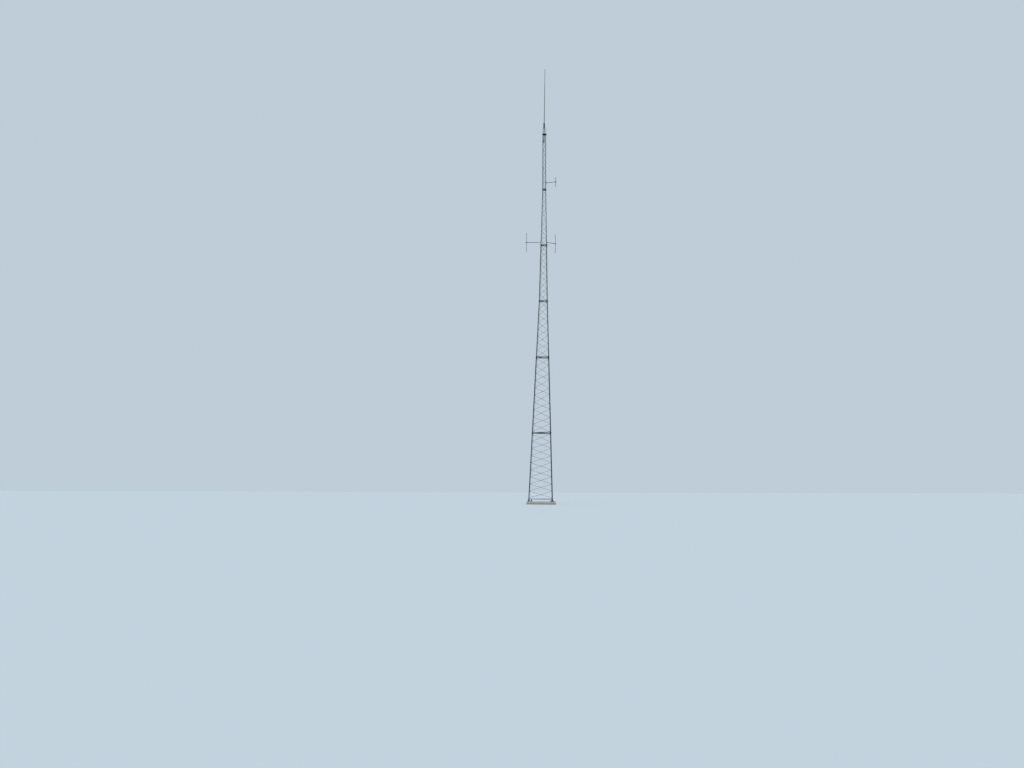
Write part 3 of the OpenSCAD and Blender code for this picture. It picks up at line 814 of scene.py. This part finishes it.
for section in range(SECTIONS):
    section_welds = bmesh.new()
    for side, turn in SIDES.items():
        rods = bmesh.new()
        lace_side(section, turn, rods, section_welds)
        node = f"{side}_side_{section + 1}"
        piece_of(rods, f"{side}_lacing_{section + 1}", bar_zinc_painted_shade, [node],
                 crisp=ROD_CRISP)
    piece_of(section_welds, f"lacing_welds_{section + 1}", weld_zinc, crisp=BEAD_CRISP)

# A steel plate closes the head, with three upright rods. The whip's pole is a tube that two clamps
# hold beside the left leg and the left rod, each drawn up by bolts.
POLE_D = 0.038
POLE_DROP = 0.457
POLE_RISE = 0.400
POLE_OFF = 0.055
POLE_LEAN = 0.8
CLAMP_H = 0.026
CLAMP_BOLT_D = 0.005
CLAMP_BOLT_IN = 0.0045
CLAMP_HEX = 0.008
CLAMP_HEAD = 0.0035
CLAMP_NUT = 0.004
CLAMP_WASHER = 0.009
CLAMP_WASHER_T = 0.001
CLAMP_TAIL = (-0.01, 0.003)
CLAMP_THREAD = (0.005, 0.009)
CLAMP_PITCH = 0.0008
HEAD_EASE = 0.001
CLAMP_EASE = 0.0012
DUST = (0.075, 0.075, 0.07, 1.0)
PLUG = [(0.0, -0.004), (POLE_D / 2 - 0.0015, -0.004), (POLE_D / 2 - 0.0005, 0.0),
        (POLE_D / 2 - 0.001, 0.0022), (POLE_D / 2 - 0.004, 0.0034), (0.0, 0.004)]

# The head's and the pole's zinc is painted far darker than weathered zinc: painted shade of a mast lit from
# behind.
head_zinc_painted_shade = zinc("head_zinc_painted_shade", dark=(0.008, 0.013, 0.019), light=(0.046, 0.060, 0.075), rusted=0.15)
pole_zinc_painted_shade = zinc("pole_zinc_painted_shade", dark=(0.009, 0.014, 0.021), light=(0.050, 0.065, 0.082), rusted=0.05,
                 crystals=0.25)
softened("head_plate", head_zinc_painted_shade, HEAD_EASE)
softened("pole", pole_zinc_painted_shade, HEAD_EASE)
softened("pole_clamps", head_zinc_painted_shade, CLAMP_EASE)

head_z = levels[SECTIONS]
pole_foot_x = POLE_OFF - face_at(head_z - POLE_DROP) / math.sqrt(3)
pole_place = at(pole_foot_x, 0, head_z - POLE_DROP) @ turned(POLE_LEAN, "Y")
pole_len = (POLE_DROP + POLE_RISE) / math.cos(math.radians(POLE_LEAN))
clamp_low, clamp_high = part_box("pole_clamps")
clamp_points = [vert.co for vert in nodes["pole_clamps"].data.vertices]

clamp_bolts = bmesh.new()
for z in (clamp_low.z + CLAMP_H / 2, clamp_high.z - CLAMP_H / 2):
    ends = [point.x for point in clamp_points if abs(point.z - z) < CLAMP_H]
    for y in (clamp_low.y + CLAMP_BOLT_IN, clamp_high.y - CLAMP_BOLT_IN):
        left = at(min(ends), y, z) @ turned(-90, "Y")
        right = at(max(ends), y, z) @ turned(90, "Y")
        for end in (left, right):
            disc(clamp_bolts, end, CLAMP_WASHER, CLAMP_WASHER_T)
        hexagon(clamp_bolts, left @ at(0, 0, CLAMP_WASHER_T), CLAMP_HEX, CLAMP_HEAD)
        hexagon(clamp_bolts, right @ at(0, 0, CLAMP_WASHER_T), CLAMP_HEX, CLAMP_NUT)
        tail = [(0.0, CLAMP_TAIL[0])] + [(CLAMP_BOLT_D / 2, z_end) for z_end in CLAMP_TAIL]
        spun(clamp_bolts, right, tail + thread(CLAMP_BOLT_D, CLAMP_PITCH, *CLAMP_THREAD), segments=10)
piece_of(clamp_bolts, "clamp_bolts", bolt_zinc)


def moulded(name, dark, light, grain=900.0, depth=0.00008, shine=0.5):
    """A moulded plastic or rubber, dusty and a little faded."""
    material, tree, shader = surface(name)
    marks = placed(tree, weathering, {"Patch Scale": 14.0, "Streak Scale": 90.0, "Grain Scale": grain})
    colour = tinted(tree, marks["Patches"], (*dark, 1.0), (*light, 1.0))
    colour = tinted(tree, times(tree, marks["Streaks"], 0.35), colour, DUST)
    rough = ranged(tree, marks["Patches"], 0.0, 1.0, shine, shine + 0.2)
    dress(tree, shader, colour, rough, marks["Grain"], depth)
    return material


trim_plastic = moulded("trim_plastic", dark=(0.012, 0.012, 0.013), light=(0.028, 0.028, 0.03))
pole_plug = bmesh.new()
spun(pole_plug, pole_place @ UPSIDE_DOWN, PLUG, segments=32)
piece_of(pole_plug, "pole_plug", trim_plastic)

# The whip's base is a turned steel socket that slips over the pole's end. Three set screws in each
# collar hold it, and the whip's cable leaves it through a gland.
BASE_OVER = 0.060
BASE_LEN = 0.290
BASE_EASE = 0.0015
COLLAR_D = 0.096
COLLAR_H = 0.026
COLLAR_GAP = 0.010
SET_SCREW_TURNS = (60, 180, 300)
SET_SCREW_HEX = 0.0065
SET_SCREW_H = 0.0046
SET_SCREW_SUNK = 0.0006
FEEDER_D = 0.007
FEEDER_OFF = POLE_D / 2 + 0.008 + 0.002 + FEEDER_D / 2
GLAND = [(0.0, -0.002), (0.0068, -0.002), (0.0068, 0.006), (0.0062, 0.007), (0.0062, 0.011),
         (0.0052, 0.012), (0.0044, 0.026), (0.0038, 0.027), (0.0, 0.027)]

# The whip base's zinc is painted far darker than weathered zinc: painted shade of a mast lit from behind.
base_zinc_painted_shade = zinc("base_zinc_painted_shade", dark=(0.007, 0.012, 0.017), light=(0.040, 0.053, 0.066), rusted=0.08,
                 crystals=0.15)
softened("whip_base", base_zinc_painted_shade, BASE_EASE)
base_place = pole_place @ at(0, 0, pole_len - BASE_OVER)
set_screws = bmesh.new()
for collar in (COLLAR_H / 2, BASE_OVER + COLLAR_GAP + COLLAR_H / 2):
    for turn in SET_SCREW_TURNS:
        outwards = base_place @ at(0, 0, collar) @ turned(turn) @ at(COLLAR_D / 2 - SET_SCREW_SUNK, 0, 0)
        hexagon(set_screws, outwards @ turned(90, "Y"), SET_SCREW_HEX, SET_SCREW_H)
piece_of(set_screws, "set_screws", bolt_zinc)

gland = bmesh.new()
spun(gland, base_place @ at(FEEDER_OFF, 0, 0) @ UPSIDE_DOWN, GLAND)
piece_of(gland, "whip_gland", trim_plastic)

# The whip is a tapering tube of glass fibre, laid up round its wires and coated grey. A metal
# ferrule binds its foot where it enters the base.
WHIP_D = 0.037
FERRULE_H = 0.045
FERRULE_WALL = 0.0012
FERRULE_RIM = 0.003
FERRULE_RIM_H = 0.006
FERRULE_IN = 0.001
GREY_COAT = (0.018, 0.025, 0.031, 1.0)
BLEACHED_COAT = (0.055, 0.067, 0.078, 1.0)
BARE_FIBRE = (0.08, 0.09, 0.097, 1.0)
COAT_STREAK = (0.016, 0.020, 0.024, 1.0)
FIBRE_RELIEF = 0.00012


def coated_fibreglass():
    material, tree, shader = surface("coated_fibreglass")
    marks = placed(tree, weathering, {"Patch Scale": 6.0, "Streak Scale": 120.0, "Grain Scale": 1200.0})
    fibres = noise(tree, stretched(tree, here(tree), (1.0, 1.0, 0.01)), 900.0, 3.0)
    colour = tinted(tree, marks["Patches"], GREY_COAT, BLEACHED_COAT)
    colour = tinted(tree, times(tree, ranged(tree, fibres, 0.5, 0.7), 0.3), colour, BARE_FIBRE)
    colour = tinted(tree, times(tree, marks["Streaks"], 0.3), colour, COAT_STREAK)
    rough = ranged(tree, marks["Grain"], 0.3, 0.7, 0.5, 0.7)
    dress(tree, shader, colour, rough, calc(tree, "ADD", fibres, marks["Grain"]), FIBRE_RELIEF)
    return material


softened("whip", coated_fibreglass(), 0.0)
ferrule = bmesh.new()
bore, wall, rim = (WHIP_D / 2 + more for more in (-FERRULE_IN, FERRULE_WALL, FERRULE_RIM))
spun(ferrule, base_place @ at(0, 0, BASE_LEN),
     [(bore, -FERRULE_IN), (rim, -FERRULE_IN), (rim, FERRULE_RIM_H), (wall, FERRULE_RIM_H + 0.002),
      (wall, FERRULE_H - 0.001), (bore, FERRULE_H), (bore, -FERRULE_IN)], segments=40)
piece_of(ferrule, "whip_ferrule", base_zinc_painted_shade, crisp=30)

# Each arm is an aluminium tube welded to a bracket. Two U-bolts draw the bracket's half rings
# against the leg, and cable ties bind the feeder under the tube.
ARM_D = 0.021
ARM_BEAD = 0.003
ARM_EASE = 0.0008
BRACKET_H = 0.100
BRACKET_OUT = 0.013
CLAMP_RING_H = 0.020
U_BOLT_D = 0.006
U_BOLT_GAP = 0.0003
U_BOLT_PAST = 0.012
U_WASHER = 0.0115
U_WASHER_T = 0.0012
U_NUT = 0.009
U_NUT_H = 0.0052
TIE_FIRST = 0.125
TIE_FREE = 0.2
TIE_APART = 0.14
TIE_W = 0.0045
TIE_WRAP = 0.0016
SALT_BLOOM = (0.36, 0.37, 0.37, 1.0)
ALUMINIUM_RELIEF = 0.0001

# For each arm: the section that it is on, the turn of its leg, its own turn, and its reach.
ARMS = {
    "left": (4, 180.0, 180.0, 0.775),
    "right": (4, -60.0, 42.0, 0.645),
    "top": (5, -60.0, -14.0, 0.538),
}


def weathered_aluminium(name, dark, light, bloomed, bare):
    """Aluminium from a dark tone to a light one, with salts in bloom on some of it.

    Bare is how metallic it is where there is no bloom."""
    material, tree, shader = surface(name)
    marks = placed(tree, weathering, {"Patch Scale": 9.0, "Streak Scale": 70.0, "Grain Scale": 1100.0})
    drifts = ranged(tree, noise(tree, here(tree), 24.0, 4.0), 0.4, 0.65)
    specks = ranged(tree, noise(tree, here(tree), 520.0, 6.0), 0.5, 0.72)
    bloom = times(tree, specks, drifts)
    handled = ranged(tree, noise(tree, here(tree), 46.0, 5.0), 0.35, 0.65)
    shade = tuple(0.5 * tint for tint in dark)
    tone = calc(tree, "ADD", times(tree, marks["Patches"], 0.5), times(tree, handled, 0.5))
    colour = tinted(tree, tone, (*dark, 1.0), (*light, 1.0))
    colour = tinted(tree, times(tree, marks["Streaks"], 0.5), colour, (*shade, 1.0))
    colour = tinted(tree, times(tree, bloom, bloomed), colour, SALT_BLOOM)
    clean_rough = ranged(tree, handled, 0.0, 1.0, 0.38, 0.58)
    rough = calc(tree, "MAXIMUM", clean_rough, times(tree, bloom, 0.8))
    dress(tree, shader, colour, rough, calc(tree, "ADD", marks["Grain"], bloom), ALUMINIUM_RELIEF)
    feed(tree, shader.inputs["Metallic"], ranged(tree, bloom, 0.0, 1.0, bare, 0.2))
    return material


aluminium = weathered_aluminium("arm_aluminium", dark=(0.10, 0.11, 0.12), light=(0.23, 0.245, 0.255),
                                bloomed=0.6, bare=0.8)
arm_places = {}
u_bolts = bmesh.new()
arm_welds = bmesh.new()
cable_ties = bmesh.new()
for name, (section, leg_turn, turn, reach) in ARMS.items():
    softened(f"{name}_arm", aluminium, ARM_EASE)
    low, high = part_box(f"{name}_arm")
    place = leg_place(leg_turn, (low.z + high.z) / 2) @ turned(turn - leg_turn)
    arm_places[name] = place
    leg_r = LEG_D[section] / 2
    bend = leg_r + U_BOLT_GAP + U_BOLT_D / 2
    plate_out = leg_r + BRACKET_OUT
    outwards = place @ turned(90, "Y")
    for side in (-1, 1):
        z = side * (BRACKET_H - CLAMP_RING_H) / 2
        round_leg = place @ at(0, 0, z) @ turned(90, "Y")
        end = plate_out + U_BOLT_PAST
        bent_rod(u_bolts, round_leg, U_BOLT_D, bend, [(Vector((0, 0, 0)), 1)], [-UP, UP], (end, end),
                 sides=12, turn_step=15)
        for y in (-bend, bend):
            seat = place @ at(plate_out, y, z) @ turned(90, "Y")
            disc(u_bolts, seat, U_WASHER, U_WASHER_T)
            hexagon(u_bolts, seat @ at(0, 0, U_WASHER_T), U_NUT, U_NUT_H)
    weld_ring(arm_welds, outwards @ at(0, 0, plate_out), ARM_D / 2, ARM_BEAD)
    ties = int((reach - TIE_FREE) / TIE_APART)
    for k in range(ties + 1):
        out = TIE_FIRST + k * (reach - TIE_FREE) / ties
        for d, drop in ((ARM_D + TIE_WRAP, 0.0), (FEEDER_D + TIE_WRAP, (ARM_D + FEEDER_D) / 2)):
            disc(cable_ties, outwards @ at(drop, 0, out), d, TIE_W)
piece_of(u_bolts, "u_bolts", bolt_zinc, crisp=ROD_CRISP)
piece_of(arm_welds, "arm_welds", aluminium, crisp=BEAD_CRISP)
piece_of(cable_ties, "cable_ties", trim_plastic)

# A loop aerial is one rod of aluminium, bent back on itself at both ends, that passes through
# bushings in a cast box. The box has a screwed lid on both broad sides, and a boot for the feeder.
LOOP_HEIGHT = {"left": 1.020, "right": 1.020, "top": 0.505}
LOOP_D = {"left": 0.011, "right": 0.011, "top": 0.013}
LOOP_W = 0.036
BOX = (0.062, 0.034, 0.042)
BOX_CORNER = 0.005
LID_FACING = 0.9
LID_STEPS = ((0.002, -0.0012), (0.0008, 0.0), (0.0004, 0.0018))
LID_SCREW = [(0.0, 0.0), (0.0022, 0.0), (0.0021, 0.0009), (0.0013, 0.0015), (0.0, 0.0017)]
LID_SCREW_IN = 0.0085
LID_SCREW_OUT = 0.0002
BOOT = [(0.0, 0.0), (0.0062, 0.0), (0.0062, 0.004), (0.0048, 0.006), (0.0042, 0.022), (0.0034, 0.0228),
        (0.0, 0.0228)]
FITTING_SUNK = 0.001
ROD_FROM_MIDDLE = 0.01
FEEDER_UNDER = ARM_D / 2 + 0.0003 + FEEDER_D / 2


def cast_box(bm, place):
    """A box with rounded corners and a raised lid on both broad sides."""
    bmesh.ops.create_cube(bm, size=1.0)
    bmesh.ops.scale(bm, vec=BOX, verts=bm.verts)
    eased(bm, [edge for edge in bm.edges if abs(edge.verts[0].co.y - edge.verts[1].co.y) > BOX[1] / 2],
          BOX_CORNER, segments=4)
    bm.normal_update()
    for face in [face for face in bm.faces if abs(face.normal.y) > LID_FACING]:
        for thickness, depth in LID_STEPS:
            bmesh.ops.inset_region(bm, faces=[face], thickness=thickness, depth=depth)
    bmesh.ops.transform(bm, matrix=place, verts=bm.verts)


loop_finish = weathered_aluminium("loop_aluminium", dark=(0.020, 0.025, 0.030), light=(0.065, 0.074, 0.082),
                                  bloomed=0.3, bare=0.35)
for name, (section, leg_turn, turn, reach) in ARMS.items():
    middle = arm_places[name] @ at(reach, 0, 0)
    rod_d = LOOP_D[name]
    straight = (LOOP_HEIGHT[name] - LOOP_W - rod_d) / 2
    lying = middle @ turned(-90)
    box = bmesh.new()
    cast_box(box, middle)
    piece_of(box, f"{name}_loop_box", loop_finish, [f"{name}_loop"])
    rod = bmesh.new()
    for up in (HERE, UPSIDE_DOWN):
        bent_rod(rod, lying @ up, rod_d, LOOP_W / 2, [(Vector((0, 0, straight)), -1)], [UP, -UP],
                 (straight - ROD_FROM_MIDDLE, straight - ROD_FROM_MIDDLE), sides=14, turn_step=14)
    piece_of(rod, f"{name}_loop_rod", loop_finish, [f"{name}_loop"], crisp=ROD_CRISP)
    fittings = bmesh.new()
    for up in (HERE, UPSIDE_DOWN):
        for x in (-LOOP_W / 2, LOOP_W / 2):
            spun(fittings, middle @ up @ at(x, 0, BOX[2] / 2 - FITTING_SUNK),
                 [(0.0, 0.0), (0.0095, 0.0), (0.0095, 0.004), (rod_d / 2 + 0.0025, 0.0055),
                  (rod_d / 2 + 0.001, 0.012), (rod_d / 2 - 0.0005, 0.0128), (0.0, 0.0128)])
    boot = arm_places[name] @ at(reach - BOX[0] / 2 + FITTING_SUNK, 0, -FEEDER_UNDER)
    spun(fittings, boot @ turned(-90, "Y"), BOOT, segments=14)
    piece_of(fittings, f"{name}_loop_bushings", trim_plastic, [f"{name}_loop"])
    screws = bmesh.new()
    for side in (-90, 90):
        for x in (-1, 1):
            for z in (-1, 1):
                spot = middle @ at(x * (BOX[0] / 2 - LID_SCREW_IN), 0, z * (BOX[2] / 2 - LID_SCREW_IN))
                seat = spot @ turned(side, "X") @ at(0, 0, BOX[1] / 2 + LID_SCREW_OUT)
                spun(screws, seat, LID_SCREW, segments=10)
    piece_of(screws, f"{name}_loop_screws", bolt_zinc, [f"{name}_loop"])

# Four feeders run down inside the left leg. They are coaxial cables in a smooth black jacket,
# held off the leg by plastic cleats with a steel band round the leg at each.
CABLE_SIDES = 12
BEND_STEPS = 3
RUN_SHARE = 1.8
END_SLACK = 0.001
CLEATS = 3
CLEAT_EASE = 0.0006
BAND_H = 0.009
BAND_T = 0.0008
BAND_GAP = 0.0002
BAND_SCREW_TURN = 35
BAND_SCREW = (0.0028, -0.008)
BAND_SCREW_D = 0.0062
BAND_SCREW_LEN = 0.014
BAND_HEX = 0.0058
BAND_HEX_H = 0.003


def neighbours(verts):
    """The corners that edges join to some corners."""
    return {edge.other_vert(vert) for vert in verts for edge in vert.link_edges}


def end_ring(low):
    """Takes the corners of one cable's end out of those of all ends."""
    ring = grown = {min(low, key=lambda vert: vert.index)}
    low -= ring
    while grown:
        grown = neighbours(grown) & low
        ring = ring | grown
        low -= grown
    return ring


def middles_from(ring):
    """The middles of a faceted cable's rings, from its end ring to the other end."""
    seen, middles = set(), []
    while ring:
        corners = sorted(ring, key=lambda vert: vert.index)
        middles.append(sum((corner.co for corner in corners), Vector()) / len(corners))
        seen |= ring
        ring = neighbours(ring) - seen
    return middles


def add_round_cable(curve, points):
    """Adds a spline through points that is straight in the runs and round in the bends.

    It passes each point halfway between two runs, or along a run more than RUN_SHARE times the other."""
    spline = curve.splines.new("BEZIER")
    spline.bezier_points.add(len(points) - 1)
    spline.resolution_u = BEND_STEPS
    runs = [after - before for before, after in zip(points, points[1:])]
    for k, knot in enumerate(spline.bezier_points):
        before, after = runs[max(k - 1, 0)], runs[min(k, len(runs) - 1)]
        short, long = sorted((before, after), key=lambda run: run.length)
        way = (long if long.length > RUN_SHARE * short.length else before + after).normalized()
        knot.handle_left_type = knot.handle_right_type = "FREE"
        knot.co = points[k]
        knot.handle_left = points[k] - way * before.length / 3
        knot.handle_right = points[k] + way * after.length / 3


jacket = moulded("cable_jacket", dark=(0.010, 0.010, 0.011), light=(0.022, 0.022, 0.024), grain=500.0,
                 depth=0.00005, shine=0.4)
solid_feeders = joined_copy("feeders")
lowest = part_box("feeders")[0].z
low_ends = {vert for vert in solid_feeders.verts if vert.co.z < lowest + END_SLACK}
route = bpy.data.curves.new("feeder_route", "CURVE")
route.dimensions = "3D"
route.bevel_depth = FEEDER_D / 2
route.bevel_resolution = CABLE_SIDES // 4 - 1
route.use_fill_caps = True
while low_ends:
    add_round_cable(route, middles_from(end_ring(low_ends)))
solid_feeders.free()
routed = bpy.data.objects.new("feeder_route", route)
feeder_mesh = bpy.data.meshes.new_from_object(routed)
feeders = bmesh.new()
feeders.from_mesh(feeder_mesh)
bmesh.ops.remove_doubles(feeders, verts=feeders.verts, dist=JOINED)
bpy.data.objects.remove(routed)
bpy.data.meshes.remove(feeder_mesh)
piece_of(feeders, "feeder_cables", jacket, ["feeders"], crisp=BEAD_CRISP)

cleat_plastic = moulded("cleat_plastic", dark=(0.014, 0.014, 0.015), light=(0.034, 0.034, 0.036))
softened("feeder_cleats", cleat_plastic, CLEAT_EASE)

band_steel = zinc("band_steel", dark=(0.12, 0.125, 0.13), light=(0.24, 0.245, 0.25), rusted=0.02,
                  crystals=0.0)
bands = bmesh.new()
for section in range(SECTIONS):
    low, high = levels[section], levels[section + 1]
    slope = slope_of(low, high)
    rise = (slope - 2 * LACE_UP[section]) / BARS[section]
    for n in range(CLEATS):
        bay = 1 + round(n * (BARS[section] - 2) / CLEATS)
        z = low + (LACE_UP[section] + (bay + 0.5) * rise) * (high - low) / slope
        inner = LEG_D[section] / 2 + BAND_GAP
        outer = inner + BAND_T
        place = leg_place(LEG_TURNS[0], z)
        spun(bands, place, [(inner, -BAND_H / 2), (outer, -BAND_H / 2), (outer, BAND_H / 2),
                            (inner, BAND_H / 2), (inner, -BAND_H / 2)], segments=32)
        screw_start = at(outer + BAND_SCREW[0], BAND_SCREW[1], 0)
        screw = place @ turned(BAND_SCREW_TURN) @ screw_start @ turned(-90, "X")
        disc(bands, screw, BAND_SCREW_D, BAND_SCREW_LEN, segments=12)
        hexagon(bands, screw @ at(0, 0, BAND_SCREW_LEN), BAND_HEX, BAND_HEX_H)
piece_of(bands, "leg_bands", band_steel)

# The feeders end in a steel duct that is cast into the plinth. Mastic seals its mouth round them
# against rain.
DUCT_D = 0.062
DUCT_WALL = 0.004
MASTIC_DROP = 0.004
MASTIC_DEPTH = 0.012
FRESH_MASTIC = (0.03, 0.03, 0.03, 1.0)
DUSTY_MASTIC = (0.07, 0.068, 0.064, 1.0)
MASTIC_RELIEF = 0.0015

softened("cable_duct", foot_zinc, FOOT_EASE)


def lumpy_mastic():
    material, tree, shader = surface("lumpy_mastic")
    marks = placed(tree, weathering, {"Patch Scale": 30.0, "Streak Scale": 60.0, "Grain Scale": 260.0})
    lumps = noise(tree, here(tree), 120.0, 3.0)
    colour = tinted(tree, marks["Patches"], FRESH_MASTIC, DUSTY_MASTIC)
    dress(tree, shader, colour, ranged(tree, lumps, 0.3, 0.7, 0.55, 0.8), lumps, MASTIC_RELIEF)
    return material


duct_low, duct_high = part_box("cable_duct")
mouth = at((duct_low.x + duct_high.x) / 2, 0, duct_high.z - MASTIC_DROP)
bore = DUCT_D / 2 - DUCT_WALL
mastic = bmesh.new()
spun(mastic, mouth, [(0.0, -MASTIC_DEPTH), (bore, -MASTIC_DEPTH), (bore, 0.0), (0.85 * bore, 0.0035),
                     (0.5 * bore, 0.006), (0.0, 0.007)], segments=32)
piece_of(mastic, "duct_seal", lumpy_mastic())
